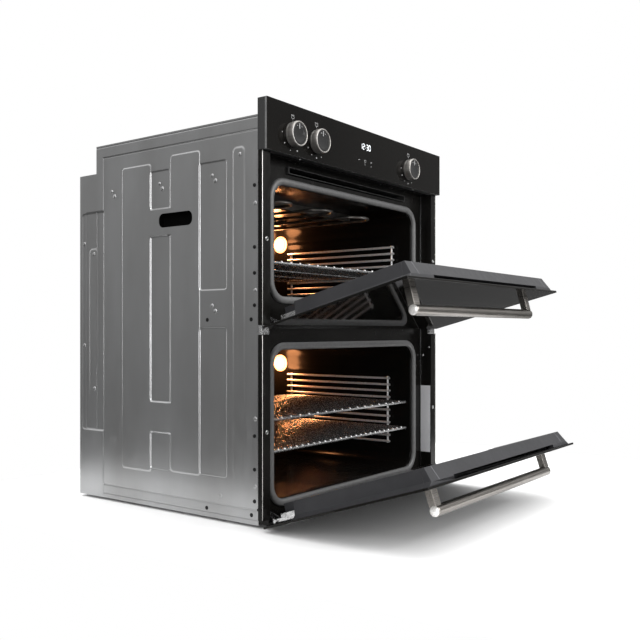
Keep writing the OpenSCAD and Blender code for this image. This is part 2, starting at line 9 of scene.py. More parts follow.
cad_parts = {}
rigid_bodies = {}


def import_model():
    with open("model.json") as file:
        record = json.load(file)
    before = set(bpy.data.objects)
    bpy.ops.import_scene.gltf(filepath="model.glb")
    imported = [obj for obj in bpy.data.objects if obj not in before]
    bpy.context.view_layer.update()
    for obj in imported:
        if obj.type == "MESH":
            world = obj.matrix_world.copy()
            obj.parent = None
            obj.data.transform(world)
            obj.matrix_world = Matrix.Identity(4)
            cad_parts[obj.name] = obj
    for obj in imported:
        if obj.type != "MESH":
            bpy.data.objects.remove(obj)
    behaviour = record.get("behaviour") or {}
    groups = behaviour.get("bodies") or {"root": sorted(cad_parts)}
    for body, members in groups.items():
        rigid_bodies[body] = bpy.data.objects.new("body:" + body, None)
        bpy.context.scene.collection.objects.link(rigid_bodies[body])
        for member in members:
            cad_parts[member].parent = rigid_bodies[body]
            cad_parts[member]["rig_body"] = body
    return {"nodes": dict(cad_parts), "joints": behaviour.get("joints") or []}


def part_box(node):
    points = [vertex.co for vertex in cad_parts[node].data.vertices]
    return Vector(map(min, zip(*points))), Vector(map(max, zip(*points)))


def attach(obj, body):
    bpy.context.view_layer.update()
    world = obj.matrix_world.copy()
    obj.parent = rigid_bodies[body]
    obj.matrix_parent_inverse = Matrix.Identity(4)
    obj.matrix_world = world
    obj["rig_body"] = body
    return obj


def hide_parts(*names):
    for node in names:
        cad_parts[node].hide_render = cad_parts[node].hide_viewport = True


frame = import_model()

# The looks of the built-under double oven. X runs to the right, Y to the back and Z up, as in
# the frame.
MM = 0.001
MIRROR = Matrix.Diagonal((-1, 1, 1, 1))
# Edges that turn by more than this are sharp.
CREASE = math.radians(38)
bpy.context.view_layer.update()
joints = {joint["name"]: joint for joint in frame["joints"]}


def box(node):
    """Lowest and highest corners of a CAD node, in millimetres."""
    low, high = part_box(node)
    return np.array(low) / MM, np.array(high) / MM


def middle_x(node):
    """The middle of a CAD node from left to right."""
    low, high = box(node)
    return (low[0] + high[0]) / 2


# ------------------------------------------------------------------ materials

# Most of a noise field's values lie between these two.
NOISE_LOW, NOISE_HIGH = 0.3, 0.7


def noise(tree, scale, detail=3.0):
    """A noise field over the object, with its own scale along X, Y and Z, per metre."""
    coordinates = tree.nodes.new("ShaderNodeTexCoord")
    mapping = tree.nodes.new("ShaderNodeMapping")
    mapping.inputs["Scale"].default_value = scale
    field = tree.nodes.new("ShaderNodeTexNoise")
    field.inputs["Scale"].default_value = 1.0
    field.inputs["Detail"].default_value = detail
    tree.links.new(coordinates.outputs["Object"], mapping.inputs["Vector"])
    tree.links.new(mapping.outputs["Vector"], field.inputs["Vector"])
    return field.outputs["Fac"]


def two_colours(tree, source, dark, light):
    """A colour that runs from dark to light with a noise field."""
    ramp = tree.nodes.new("ShaderNodeValToRGB")
    ramp.color_ramp.elements[0].position = NOISE_LOW
    ramp.color_ramp.elements[0].color = (*dark, 1.0)
    ramp.color_ramp.elements[1].position = NOISE_HIGH
    ramp.color_ramp.elements[1].color = (*light, 1.0)
    tree.links.new(source, ramp.inputs["Fac"])
    return ramp.outputs["Color"]


def between(tree, source, low, high):
    """A value that runs from low to high with a noise field."""
    spread = tree.nodes.new("ShaderNodeMapRange")
    spread.inputs["From Min"].default_value = NOISE_LOW
    spread.inputs["From Max"].default_value = NOISE_HIGH
    spread.inputs["To Min"].default_value = low
    spread.inputs["To Max"].default_value = high
    tree.links.new(source, spread.inputs["Value"])
    return spread.outputs["Result"]


def finish(name, dark, light, roughness, metallic, grain, streaks=None, bump=None, **sockets):
    """A surface whose colour and roughness vary between two values.
    bump is (scale, height in millimetres, strength)."""
    material = bpy.data.materials.new(name)
    material.use_nodes = True
    tree = material.node_tree
    shader = tree.nodes["Principled BSDF"]
    cloud = noise(tree, grain)
    tree.links.new(two_colours(tree, cloud, dark, light), shader.inputs["Base Color"])
    fine = noise(tree, streaks or tuple(4 * g for g in grain), 2.0)
    tree.links.new(between(tree, fine, *roughness), shader.inputs["Roughness"])
    shader.inputs["Metallic"].default_value = metallic
    if bump:
        scale, height, strength = bump
        relief = tree.nodes.new("ShaderNodeBump")
        relief.inputs["Strength"].default_value = strength
        relief.inputs["Distance"].default_value = height * MM
        tree.links.new(noise(tree, scale, 2.0), relief.inputs["Height"])
        tree.links.new(relief.outputs["Normal"], shader.inputs["Normal"])
    for socket, value in sockets.items():
        shader.inputs[socket.replace("_", " ")].default_value = value
    return material


def grey(level, tint=(1.0, 1.0, 1.0)):
    """A grey as a colour, with a tint if it has one."""
    return tuple(level * t for t in tint)


WARM = (1.0, 0.93, 0.84)
GALVANISED = finish("galvanised", grey(0.36), grey(0.44, (1, 1.01, 1.02)), (0.28, 0.38), 0.95,
                    (9, 9, 3), (30, 420, 30), ((500, 500, 500), 0.02, 0.15))
ZINC = finish("bright_zinc", grey(0.42), grey(0.7), (0.16, 0.3), 1.0, (120, 120, 120),
              bump=((120, 120, 120), 0.9, 0.8))
FRAME_BLACK = finish("frame_black", grey(0.004, WARM), grey(0.008, WARM), (0.18, 0.28), 0.0, (12, 12, 12),
                     bump=((700, 700, 700), 0.02, 0.15), Specular_IOR_Level=0.14)
ENAMEL = finish("enamel", grey(0.003, WARM), grey(0.007, WARM), (0.14, 0.24), 0.0, (900, 900, 900),
                (20, 20, 20), ((45, 45, 45), 0.6, 0.25), Specular_IOR_Level=0.08)
RUBBER = finish("seal_rubber", grey(0.09), grey(0.12), (0.38, 0.5), 0.0, (150, 150, 150),
                bump=((900, 900, 900), 0.05, 0.3))
SHEATH = finish("element_sheath", grey(0.16), grey(0.30, WARM), (0.3, 0.45), 0.9, (60, 60, 60))
MOTOR = finish("motor_steel", grey(0.4), grey(0.5), (0.3, 0.4), 1.0, (60, 60, 200))
ALUMINIUM = finish("fan_aluminium", grey(0.6), grey(0.7), (0.25, 0.4), 1.0, (70, 70, 70))
CHROME = finish("chrome_wire", grey(0.84), grey(0.92), (0.26, 0.36), 0.55, (120, 120, 120))
SHELF_WIRE = finish("shelf_wire", grey(0.38), grey(0.52), (0.2, 0.3), 0.9, (120, 120, 120))
CERAMIC = finish("ceramic", grey(0.72, WARM), grey(0.8, WARM), (0.5, 0.6), 0.0, (80, 80, 80))
BLACK_GLASS = finish("black_glass", grey(0.0055, WARM), grey(0.008, WARM), (0.03, 0.06), 0.0,
                     (6, 6, 6), Specular_IOR_Level=0.13)
# Grey narrow faces of the control glass: the ground edge's own paler tone plus a painted highlight of its lit
# edge line.
GROUND_EDGE_HIGHLIGHT = finish("ground_glass_edge_highlight", grey(0.13), grey(0.19), (0.25, 0.35), 0.0, (200, 200, 200))
PLASTIC = finish("panel_plastic", grey(0.018), grey(0.025), (0.4, 0.5), 0.0, (300, 300, 300),
                 bump=((900, 900, 900), 0.05, 0.3))
BOARD = finish("circuit_board", (0.01, 0.09, 0.04), (0.02, 0.16, 0.07), (0.3, 0.4), 0.0, (400, 20, 400))
NICKEL = finish("brushed_nickel", grey(0.22, (1, 0.93, 0.85)), grey(0.31, (1, 0.94, 0.87)), (0.24, 0.36),
                1.0, (14, 900, 900), (14, 1400, 1400), ((14, 1800, 1800), 0.02, 0.3))
# Near white and only partly metallic: polished metal with a painted highlight for the handle caps, and a
# painted highlight alone for the flange strips.
PAINTED_HIGHLIGHT_METAL = finish("polished_cap_painted_highlight", grey(0.84, (1, 0.98, 0.95)), grey(0.90, (1, 0.98, 0.95)), (0.22, 0.32),
                   0.35, (200, 200, 200))
KNOB_METAL = finish("knob_metal", grey(0.27, (1, 0.95, 0.90)), grey(0.36, (1, 0.96, 0.91)), (0.34, 0.44),
                    0.82, (300, 3, 300), (500, 3, 500), ((600, 6, 600), 0.02, 0.25))
KNOB_BLACK = finish("knob_black", grey(0.008), grey(0.014), (0.06, 0.12), 0.0, (30, 30, 30),
                    Coat_Weight=0.6, Coat_Roughness=0.04)
CHARCOAL = finish("door_charcoal", grey(0.032, (1, 1, 1.08)), grey(0.040, (1, 1, 1.08)), (0.36, 0.46),
                  0.3, (20, 20, 20), bump=((1100, 1100, 1100), 0.03, 0.3), Specular_IOR_Level=0.3)
# Much paler than the charcoal door: the end-cap joints, with a painted highlight on their chamfer.
CAP_JOINT_HIGHLIGHT = finish("door_cap_joint_highlight", grey(0.16, (1, 1, 1.08)), grey(0.2, (1, 1, 1.08)), (0.3, 0.4), 0.3,
                   (40, 40, 40))
INNER_GLASS = finish("inner_glass", grey(0.02), grey(0.03), (0.03, 0.06), 0.0, (8, 8, 8),
                     IOR=1.5, Transmission_Weight=0.6)
DUCT = finish("duct_steel", grey(0.03), grey(0.05), (0.35, 0.5), 0.6, (40, 40, 40))
WOOL = finish("insulation_wool", (0.36, 0.30, 0.15), (0.66, 0.58, 0.34), (0.9, 1.0), 0.0,
              (120, 120, 30), bump=((300, 300, 80), 3.0, 0.8), Sheen_Weight=0.3)
DARK_SCREW = finish("dark_screw", grey(0.012), grey(0.03), (0.3, 0.5), 0.8, (400, 400, 400))
# Near black and almost without shine: painted shade for the dark inside of a hand slot.
CUP_PAINTED_SHADE = finish("grip_cup_painted_shade", grey(0.001), grey(0.002), (0.8, 0.9), 0.0, (60, 60, 60),
                   Specular_IOR_Level=0.05)
PRINT = finish("white_print", grey(0.42), grey(0.5), (0.5, 0.6), 0.0, (200, 200, 200))
PLATE = finish("blank_plate", grey(0.87, (1, 1, 1.03)), grey(0.92, (1, 1, 1.03)), (0.35, 0.5), 0.0,
               (40, 900, 40))
DIGITS = finish("display_digits", grey(0.8), grey(0.85), (0.5, 0.6), 0.0, (200, 200, 200),
                Emission_Color=(0.85, 0.93, 1.0, 1.0), Emission_Strength=1.3)
LAMP_GLASS = finish("lamp_glass", (1.0, 0.75, 0.45), (1.0, 0.82, 0.55), (0.1, 0.2), 0.0, (60, 60, 60),
                    Emission_Color=(1.0, 0.36, 0.12, 1.0), Emission_Strength=4.0)

# ------------------------------------------------------------------ shapes


def loft(rings, wrap=False, caps=False):
    """Quads between successive rings of points. wrap joins the last ring to the first."""
    count = len(rings[0])
    faces = []
    for i in range(len(rings) if wrap else len(rings) - 1):
        a = i * count
        b = (i + 1) % len(rings) * count
        for k in range(count):
            n = (k + 1) % count
            faces.append((a + k, a + n, b + n, b + k))
    if caps:
        last = (len(rings) - 1) * count
        faces.append(tuple(reversed(range(count))))
        faces.append(tuple(range(last, last + count)))
    return np.vstack(rings), faces


def joined(*shapes):
    """Several shapes as one."""
    points, faces, start = [], [], 0
    for shape_points, shape_faces in shapes:
        points.append(shape_points)
        faces += [tuple(v + start for v in face) for face in shape_faces]
        start += len(shape_points)
    return np.vstack(points), faces


def moved(shape, matrix):
    """A shape put through a matrix."""
    points, faces = shape
    a = np.array(matrix)
    return points @ a[:3, :3].T + a[:3, 3], faces


def shifted(shape, x, y=0.0, z=0.0):
    """A shape moved along the axes."""
    return shape[0] + np.array((x, y, z)), shape[1]


AXES = {"x": ((0, 1, 0), (0, 0, 1), (1, 0, 0)), "y": ((0, 0, 1), (1, 0, 0), (0, 1, 0)),
        "z": ((1, 0, 0), (0, 1, 0), (0, 0, 1))}


def lathe(profile, axis, turns):
    """A round solid about an axis through the origin. profile has (radius, distance along it)."""
    across, up, along = (np.array(v, float) for v in AXES[axis])
    angles = np.linspace(0, 2 * math.pi, turns, endpoint=False)
    wheel = np.outer(np.cos(angles), across) + np.outer(np.sin(angles), up)
    return loft([r * wheel + h * along for r, h in profile], caps=True)


def rounded_box(low, high, radius, segments=2):
    """A box between two corners, with its edges rounded by radius."""
    low, high = np.array(low, float), np.array(high, float)
    bm = bmesh.new()
    bmesh.ops.create_cube(bm, size=1.0)
    for v in bm.verts:
        v.co = [(low[i] + high[i]) / 2 + v.co[i] * (high[i] - low[i]) for i in range(3)]
    radius = min(radius, 0.45 * float((high - low).min()))
    bmesh.ops.bevel(bm, geom=bm.edges[:], offset=radius, segments=segments, profile=0.5, affect="EDGES")
    bm.verts.index_update()
    points = np.array([v.co[:] for v in bm.verts])
    faces = [tuple(v.index for v in f.verts) for f in bm.faces]
    bm.free()
    return points, faces


def rounded_loop(width, height, radius, steps=8, sides=6):
    """Points (u, v) round a rectangle with round corners, anticlockwise from the right."""
    points = []
    for quarter in range(4):
        su, sv = ((1, 1), (-1, 1), (-1, -1), (1, -1))[quarter]
        centre = np.array((su * (width / 2 - radius), sv * (height / 2 - radius)))
        for k in range(steps + 1):
            a = math.radians(90 * quarter + 90 * k / steps)
            points.append(centre + radius * np.array((math.cos(a), math.sin(a))))
    result = []
    for i, p in enumerate(points):
        result.append(p)
        if i % (steps + 1) == steps:
            q = points[(i + 1) % len(points)]
            result += [p + (q - p) * k / sides for k in range(1, sides)]
    return np.array(result)


def flat(loop, y):
    """A loop of (x, z) points as points at depth y."""
    return np.array([(p[0], y, p[1]) for p in loop])


def show(name, shape, material, body="case", replaces=(), solid=True, sharp=CREASE):
    """Makes a piece from a shape and sets what it rides on and stands for."""
    points, faces = shape
    mesh = bpy.data.meshes.new(name)
    mesh.from_pydata([tuple(p) for p in points * MM], [], faces)
    if solid:
        bm = bmesh.new()
        bm.from_mesh(mesh)
        bmesh.ops.recalc_face_normals(bm, faces=bm.faces[:])
        bm.to_mesh(mesh)
        bm.free()
    mesh.polygons.foreach_set("use_smooth", [True] * len(mesh.polygons))
    mesh.set_sharp_from_angle(angle=sharp)
    mesh.materials.append(material)
    piece = bpy.data.objects.new(name, mesh)
    bpy.context.scene.collection.objects.link(piece)
    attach(piece, body)
    if replaces:
        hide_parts(*replaces)
    return piece


def thicken(piece, thickness):
    """Gives a sheet its thickness, behind its shown face, with crisp outer edges."""
    bm = bmesh.new()
    bm.from_mesh(piece.data)
    for edge in bm.edges:
        if edge.is_boundary:
            edge.smooth = False
    bm.to_mesh(piece.data)
    bm.free()
    modifier = piece.modifiers.new("thickness", "SOLIDIFY")
    modifier.thickness = thickness * MM
    modifier.offset = -1.0


def paint(node, material):
    """A new material on a CAD node whose shape stays."""
    piece = frame["nodes"][node]
    if not piece.material_slots:
        piece.data.materials.append(material)
    for slot in piece.material_slots:
        slot.link = "OBJECT"
        slot.material = material


def edge_faces(mesh):
    """The narrow faces of a pane: those that lie across its largest face."""
    broad = max(mesh.polygons, key=lambda face: face.area).normal
    return [int(abs(face.normal.dot(broad)) < 0.7) for face in mesh.polygons]


def dress(node, material, width, segments=2, edge_material=None):
    """Stands for a CAD node with a copy whose sharp edges are rounded by width.
    edge_material is for the narrow faces of a pane."""
    source = frame["nodes"][node]
    bm = bmesh.new()
    bm.from_mesh(source.data)
    bmesh.ops.remove_doubles(bm, verts=bm.verts[:], dist=0.002 * MM)
    bmesh.ops.dissolve_limit(bm, angle_limit=math.radians(0.8), use_dissolve_boundaries=False,
                             verts=bm.verts[:], edges=bm.edges[:])
    mesh = bpy.data.meshes.new(node + "_finish")
    bm.to_mesh(mesh)
    bm.free()
    if "custom_normal" in mesh.attributes:
        mesh.attributes.remove(mesh.attributes["custom_normal"])
    mesh.materials.clear()
    mesh.materials.append(material)
    mesh.polygons.foreach_set("use_smooth", [True] * len(mesh.polygons))
    mesh.polygons.foreach_set("material_index", [0] * len(mesh.polygons))
    if edge_material:
        mesh.materials.append(edge_material)
        mesh.polygons.foreach_set("material_index", edge_faces(mesh))
    piece = bpy.data.objects.new(node + "_finish", mesh)
    bpy.context.scene.collection.objects.link(piece)
    rounding = piece.modifiers.new("rounding", "BEVEL")
    rounding.width = width * MM
    rounding.segments = segments
    rounding.limit_method = "ANGLE"
    rounding.angle_limit = CREASE
    rounding.harden_normals = True
    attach(piece, source["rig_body"])
    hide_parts(node)
    return piece


# ------------------------------------------------------------------ pressed sheets

# How wide the slope at the edge of a pressing is, unless it says otherwise.
RAMP = 3.0


def rise(distance, ramp=RAMP):
    """0 well outside an edge and 1 well inside it, where distance grows inwards."""
    t = np.clip(distance / ramp + 0.5, 0.0, 1.0)
    return t * t * (3 - 2 * t)


def inside(u, v, area, radius=6.0, ramp=RAMP):
    """How far a point lies in a rectangle with round corners: 0 outside, 1 inside.
    area is (low u, high u, low v, high v)."""
    return rise(-distance_out(u, v, area, radius), ramp)


def distance_out(u, v, area, radius):
    """How far a point lies outside such a rectangle, negative inside it."""
    du = np.abs(u - (area[0] + area[1]) / 2) - (area[1] - area[0]) / 2 + radius
    dv = np.abs(v - (area[2] + area[3]) / 2) - (area[3] - area[2]) / 2 + radius
    outside = np.hypot(np.maximum(du, 0), np.maximum(dv, 0))
    return outside + np.minimum(np.maximum(du, dv), 0) - radius


def lines(low, high, exact, edges):
    """Places for the grid lines of a sheet: on each of exact, on and near each of edges, and no
    further apart than gap."""
    gap = 24.0
    near = (-7, -5, -3.4, -2.3, -1.5, -0.75, 0, 0.75, 1.5, 2.3, 3.4, 5, 7)
    wanted = [e + d for e in edges for d in near if low < e + d < high]
    kept = sorted({low, high, *exact})
    for w in sorted(wanted):
        if min(abs(w - k) for k in kept) > 0.45:
            kept.append(w)
    kept.sort()
    full = []
    for a, b in zip(kept, kept[1:]):
        parts = max(1, math.ceil((b - a) / gap))
        full += [a + (b - a) * k / parts for k in range(parts)]
    return np.array(full + [kept[-1]])


def sheet(us, vs, depth, place, keep, hole=None, flip=False):
    """A pressed sheet: place(u, v, depth) puts each grid point in space. keep says which cells
    stay, and hole is a signed distance, negative inside, to which the cut cells are trimmed."""
    u, v = np.meshgrid(us, vs, indexing="ij")
    cu, cv = (u[:-1, :-1] + u[1:, 1:]) / 2, (v[:-1, :-1] + v[1:, 1:]) / 2
    stay = keep(cu, cv)
    if hole is not None:
        cut = hole(cu, cv) < 0
        near = np.zeros(u.shape, bool)
        for a in (0, 1):
            for b in (0, 1):
                near[a:a + cut.shape[0], b:b + cut.shape[1]] |= cut
        kept = np.zeros(u.shape, bool)
        for a in (0, 1):
            for b in (0, 1):
                kept[a:a + cut.shape[0], b:b + cut.shape[1]] |= ~cut
        rim = near & kept
        stay &= ~cut
        # The points next to the cut cells move onto the hole's edge.
        for _ in range(3):
            d = hole(u, v)
            du = (hole(u + 0.01, v) - d) / 0.01
            dv = (hole(u, v + 0.01) - d) / 0.01
            u, v = np.where(rim, u - d * du, u), np.where(rim, v - d * dv, v)
    points = place(u, v, depth(u, v)).reshape(-1, 3)
    row = len(vs)
    i, j = np.nonzero(stay)
    a = i * row + j
    quads = np.stack([a, a + row, a + row + 1, a + 1], axis=1)
    if flip:
        quads = quads[:, ::-1]
    used = np.unique(quads)
    order = np.full(len(points), -1)
    order[used] = np.arange(len(used))
    return points[used], [tuple(q) for q in order[quads].tolist()]


case_low, case_high = box("left_side_panel")
side_x = -case_low[0]
front_y, rear_y = case_low[1], case_high[1]
top_z = case_high[2]
cover_z = box("rear_cover")[1][2]
step_y = box("rear_panel")[0][1]

# Pressings of the side: (low y, high y, low z, high z)
PADS = ((29, 109.5, 65, 643), (-99.5, -25, 71, 652))
BRIDGES = ((-30, 34, 506, 557), (-30, 34, 140, 197))
WINDOWS = ((-21.5, 29, 557, 628), (-21.5, 29, 197, 506), (-21.5, 29, 71, 140),
           (-164, -99.5, 402, 628), (-164, -99.5, 73, 335))
RIB = (-206.5, -180.5, 30, 646)
REAR_PAN = (150, 231, 131, 565)
REAR_STEP = (150, 221, 133, 567)
REAR_RIB = (185, 210, 122, 494)
HAND_SLOT = (-81.5, 5.5, 521, 547)
SLOT_RADIUS = 11.0
REAR_EDGE_Y = 166.5
TOP_EDGE_Z = 671.0
TOP_FOLD_Z = 692.0
FOOT_EDGE_Z = 26.0
FOOT_GROOVE_Z = 9.0
FIELD_DEPTH, WINDOW_DEPTH = 1.4, 2.6
RIB_HEIGHT, REAR_RIB_HEIGHT = 1.2, 1.3
# How far up from its lower end each rib grows to its full height.
RIB_FADE, REAR_RIB_FADE = 350, 200


def groove(z, middle, half_width):
    """1 along a line and 0 beyond half_width from it."""
    return np.clip(1 - np.abs(z - middle) / half_width, 0, 1)


def side_depth(y, z):
    """How far the side's face lies in from its outermost plane."""
    field = rise(REAR_EDGE_Y - y)
    depth = FIELD_DEPTH * field * rise(TOP_EDGE_Z - z)
    foot = 0.4 + 1.0 * z / FOOT_EDGE_Z + 0.6 * groove(z, FOOT_GROOVE_Z, 1.2)
    depth = depth + (foot - depth) * rise(FOOT_EDGE_Z - z, 1.5) * field
    depth = depth + field * (1.0 * groove(z, FOOT_EDGE_Z, 1.6) + 0.9 * groove(z, TOP_EDGE_Z, 1.6))
    raised = np.zeros_like(depth)
    for area in PADS + BRIDGES:
        raised = np.maximum(raised, inside(y, z, area))
    depth = depth * (1 - raised)
    for area in WINDOWS:
        depth = depth + (WINDOW_DEPTH - depth) * inside(y, z, area, 5.0)
    depth = depth - RIB_HEIGHT * inside(y, z, RIB, 9.0, 5.0) * np.clip((z - RIB[2]) / RIB_FADE, 0, 1)
    depth = depth + 0.9 * inside(y, z, REAR_STEP) * rise(y - REAR_EDGE_Y)
    depth = depth + 1.3 * inside(y, z, REAR_PAN) * rise(y - REAR_EDGE_Y)
    rear_rib = inside(y, z, REAR_RIB, 11.0, 4.0) * np.clip((z - REAR_RIB[2]) / REAR_RIB_FADE, 0, 1)
    depth = depth - REAR_RIB_HEIGHT * rear_rib
    return depth + 0.6 * groove(z, TOP_FOLD_Z, 1.0)


def slot_distance(y, z):
    """How far a point lies outside the hand slot, negative inside it."""
    return distance_out(y, z, HAND_SLOT, SLOT_RADIUS)


def side_sheet(name, sign):
    """One side of the case. sign is -1 for the left and 1 for the right."""
    areas = PADS + BRIDGES + WINDOWS + (RIB, REAR_PAN, REAR_STEP, REAR_RIB)
    # These edges lie inside another pressing, so they don't show.
    hidden = {REAR_PAN[0], *BRIDGES[0][:2]}
    ys = {y for area in areas for y in area[:2]} - hidden
    zs = {z for area in areas for z in area[2:]}
    corner = range(int(SLOT_RADIUS) + 2)
    slot_columns = [HAND_SLOT[0] + d for d in corner] + [HAND_SLOT[1] - d for d in corner]
    y_lines = lines(front_y, rear_y, (step_y, *slot_columns), ys | {REAR_EDGE_Y})
    slot_rows = range(HAND_SLOT[2], HAND_SLOT[3] + 1)
    z_lines = lines(case_low[2], top_z, (cover_z, *slot_rows),
                    zs | {TOP_EDGE_Z, TOP_FOLD_Z, FOOT_EDGE_Z, FOOT_GROOVE_Z})
    shape = sheet(y_lines, z_lines, side_depth,
                  lambda y, z, d: np.stack([sign * (side_x - d), y, z], axis=-1),
                  keep=lambda y, z: (y < step_y) | (z < cover_z), hole=slot_distance, flip=sign < 0)
    piece = show(name + "_pressed", shape, GALVANISED, replaces=(name,),
                 solid=False)
    thicken(piece, 0.8)
    return piece


def dome(radius, height, axis="x", rings=4):
    """A small pressed bump that stands on the plane through the origin."""
    profile = [(radius, -0.4)]
    for k in range(rings):
        a = math.radians(90 * k / rings)
        profile.append((radius * math.cos(a), height * math.sin(a)))
    profile.append((0.12 * radius, height))
    return lathe(profile, axis, 20)


# Pairs of small bumps, single bumps, and small punched holes: (y, z)
TWIN_BUMPS = ((2.5, 599), (-133.5, 599), (136.5, 597), (-134.5, 369))
ONE_BUMPS = ((-196.5, 633), (195.5, 483), (194.5, 214), (226, 505), (226, 300), (-231, 546), (-231, 398),
             (-231, 180), (-231, 65), (-150, 40))
PUNCHED = ((-118, 349), (-221.5, 349), (-117, 15), (-222.5, 16))


def surface_x(y, z):
    """Where the right side's face lies, its pressings included."""
    return side_x - float(side_depth(np.array([float(y)]), np.array([float(z)]))[0])


def side_details(name, sign):
    """The bumps and punched holes of one side."""
    bumps = []
    for y, z in TWIN_BUMPS:
        bumps.append(shifted(dome(4.4, 1.9), surface_x(y, z), y - 3.5, z - 5))
        bumps.append(shifted(dome(3.8, 1.7), surface_x(y, z), y + 4.5, z + 5))
    for y, z in ONE_BUMPS:
        bumps.append(shifted(dome(4.0, 1.5), surface_x(y, z), y, z))
    turn = Matrix.Diagonal((sign, 1, 1, 1))
    shape = moved(joined(*bumps), turn)
    show(f"{name}_bumps", shape, GALVANISED)
    rims = []
    for y, z in PUNCHED:
        ring = lathe([(1.6, 0.15), (1.6, -0.3), (3.6, -0.3), (3.6, 0.25), (3.0, 0.45), (2.2, 0.45)], "x", 20)
        rims.append(shifted(ring, surface_x(y, z), y, z))
    show(f"{name}_punched", moved(joined(*rims), turn), DARK_SCREW)


def grip_cup(name, sign):
    """The cup behind a hand slot, near black and almost without shine: painted shade for the dark inside of
    the slot. section has (how far it is wider than the slot, x).
    """
    y0, y1, z0, z1 = HAND_SLOT
    centre = ((y0 + y1) / 2, (z0 + z1) / 2)
    section = ((2.5, 276.9), (2.5, 276.0), (1.0, 275.0), (0.8, 266.0), (-2.0, 264.6), (-6.0, 264.4))
    rings = []
    for grow, x in section:
        loop = rounded_loop(y1 - y0 + 2 * grow, z1 - z0 + 2 * grow, SLOT_RADIUS + grow * 0.9)
        rings.append(np.array([(sign * x, centre[0] + p[0], centre[1] + p[1]) for p in loop]))
    points, faces = loft(rings)
    start = (len(rings) - 1) * len(rings[0])
    faces.append(tuple(range(start, start + len(rings[0]))))
    piece = show(name, (points, faces), CUP_PAINTED_SHADE, solid=False)
    thicken(piece, 0.5)


side_sheet("left_side_panel", -1)
side_sheet("right_side_panel", 1)
side_details("left_side", -1)
side_details("right_side", 1)
grip_cup("left_grip_cup", -1)
grip_cup("right_grip_cup", 1)


def case_top():
    """The top of the case, with a border, a shallow pressed field and its row of air slots."""
    low, high = box("top_panel")
    field = (low[0] + 26, high[0] - 26, low[1] + 30, high[1] - 30)
    ribs = tuple((x - 14, x + 14, low[1] + 60, 60) for x in (-170, -56, 56, 170))
    slot_half, slot_y0, slot_y1 = 12, 120, 126
    slots = [(x - slot_half, x + slot_half) for x in range(-198, 199, 36)]
    xs = lines(low[0], high[0], [x for s in slots for x in s],
               {*field[:2]} | {x for r in ribs for x in r[:2]})
    ys = lines(low[1], high[1], (slot_y0, slot_y1),
               {*field[2:], *ribs[0][2:], slot_y0 - 8, slot_y1 + 8})

    def depth(x, y):
        value = 0.9 * inside(x, y, field, 12.0)
        for rib in ribs:
            value = value - 0.8 * inside(x, y, rib, 12.0)
        return value

    def keep(x, y):
        in_slot = np.zeros(x.shape, bool)
        for a, b in slots:
            in_slot |= (x > a) & (x < b)
        return ~(in_slot & (y > slot_y0) & (y < slot_y1))

    shape = sheet(xs, ys, depth, lambda x, y, d: np.stack([x, y, top_z - d], axis=-1), keep)
    top = show("top_panel_pressed", shape, GALVANISED, replaces=("top_panel",),
               solid=False)
    thicken(top, 1.0)
    lip = rounded_box((low[0], low[1], low[2]), (high[0], low[1] + 1.2, high[2] - 0.5), 0.4)
    show("top_panel_lip", lip, GALVANISED)


def case_rear():
    """The deep cover at the back, with rows of hooded air slots."""
    low, high = box("rear_cover")
    columns, rows = (-150, 0, 150), range(90, 245, 14)
    slots = [(x - 45, x + 45, z - 2.5, z + 2.5) for x in columns for z in rows]
    upper_pan = (low[0] + 30, high[0] - 30, 290, 600)
    lower_pan = (low[0] + 30, high[0] - 30, 50, 270)
    plate = (-100, 100, 350, 540)
    exact_z = sorted({z for s in slots for z in s[2:]})
    xs = lines(low[0], high[0], sorted({x for s in slots for x in s[:2]}),
               {*upper_pan[:2], *plate[:2]})
    zs = lines(low[2], high[2], exact_z + [z + 5 for z in exact_z[1::2]],
               {*upper_pan[2:], *lower_pan[2:], *plate[2:]})

    def depth(x, z):
        value = 1.4 * np.maximum(inside(x, z, upper_pan, 14.0), inside(x, z, lower_pan, 14.0))
        value = value - 1.2 * inside(x, z, plate, 20.0)
        for a, b, z0, z1 in slots:
            value = value - 1.3 * inside(x, z, (a - 2, b + 2, z0 - 0.5, z1 + 3.5), 3.0, 3.0)
        return value

    def keep(x, z):
        cut = np.zeros(x.shape, bool)
        for a, b, z0, z1 in slots:
            cut |= (x > a) & (x < b) & (z > z0) & (z < z1 - 1.5)
        return ~cut

    shape = sheet(xs, zs, depth, lambda x, z, d: np.stack([x, rear_y - np.maximum(d, 0), z], axis=-1),
                  keep, flip=True)
    cover = show("rear_cover_pressed", shape, GALVANISED, replaces=("rear_cover",),
                 solid=False)
    thicken(cover, 0.9)
    ledge = rounded_box((low[0], low[1], high[2] - 1.2), (high[0], high[1] - 0.6, high[2]), 0.5)
    show("rear_cover_ledge", ledge, GALVANISED)


case_top()
case_rear()
dress("base_panel", GALVANISED, 0.4)
dress("rear_panel", GALVANISED, 0.3)
paint("insulation", WOOL)


def screw(radius, height, axis="x"):
    """A pan head with a round recess, standing up from the origin."""
    shaped = [(radius, -0.3), (radius, 0.35 * height), (0.86 * radius, 0.8 * height), (0.6 * radius, height),
              (0.5 * radius, height), (0.42 * radius, 0.35 * height)]
    return lathe(shaped, axis, 24)


CASE_SCREW_ZS = (40, 94, 151, 373, 428, 472, 577)


def case_screws():
    """The row of screws down the front edge of each side."""
    low, high = box("case_screws")
    y = (low[1] + high[1]) / 2
    heads = []
    for z in CASE_SCREW_ZS:
        head = shifted(screw(3.4, 1.5), surface_x(y, z), y, z)
        heads += [head, moved(head, MIRROR)]
    show("case_screw_heads", joined(*heads), DARK_SCREW, replaces=("case_screws",))


case_screws()

# ------------------------------------------------------------------ front

dress("front_frame", FRAME_BLACK, 0.4)
for flange in ("left_flange", "right_flange"):
    dress(flange, FRAME_BLACK, 0.5, 3)
dress("middle_brackets", ZINC, 0.4)
dress("hinge_receivers", ZINC, 0.5)
dress("air_duct", DUCT, 0.3)



